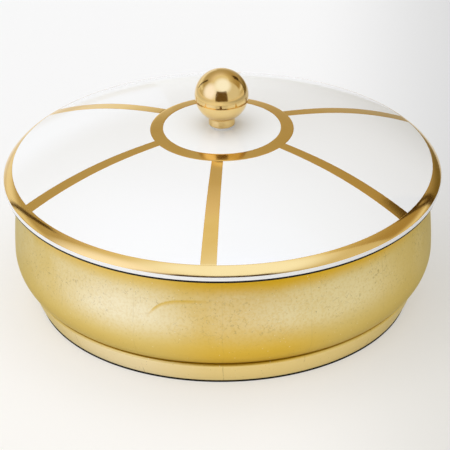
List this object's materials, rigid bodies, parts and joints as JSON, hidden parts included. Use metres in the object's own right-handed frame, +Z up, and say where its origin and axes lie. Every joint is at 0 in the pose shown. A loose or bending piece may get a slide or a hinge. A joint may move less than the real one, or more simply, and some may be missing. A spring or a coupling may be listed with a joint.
{
  "type": "lidded round box",
  "caption": "Round bulging box on a low plinth, gold leafed outside, with a white domed lid crossed by gold bands and lifted by a ball knob.",
  "frame": {"origin": "centre of the underside, on the surface the box stands on", "axes": "+Z up along the turning axis, -Y to the front, where one rib of the lid points"},
  "size_m": [0.2, 0.2, 0.1117],
  "materials": {
    "felt": "black felt",
    "leafed_wood": "gold leaf over black lacquer, clear coated",
    "black_lacquered_wood": "black gloss lacquer",
    "white_lacquered_wood": "white gloss lacquer",
    "band_brass": "polished, let in flush",
    "knob_brass": "polished",
    "pale_nylon": "pale nylon",
    "steel": "zinc plated"
  },
  "bodies": {
    "box": {"base_felt": "felt", "foot_ring": "leafed_wood", "base_panel": "black_lacquered_wood", "bowl_wall": "leafed_wood"},
    "lid": {"lid_shell": "white_lacquered_wood", "lid_seat_ring": "black_lacquered_wood", "lid_rim_band": "band_brass", "lid_hub_band": "band_brass", "lid_rib_bands": "band_brass", "knob_pad": "pale_nylon", "knob_collar": "knob_brass", "knob_ball": "knob_brass", "screw_washer": "steel", "knob_screw": "steel"}
  },
  "joints": [
    {"name": "lid_lift", "type": "slide", "parent": "box", "child": "lid", "axis": [0, 0, 1], "range_m": [0, 0.1]}
  ]
}
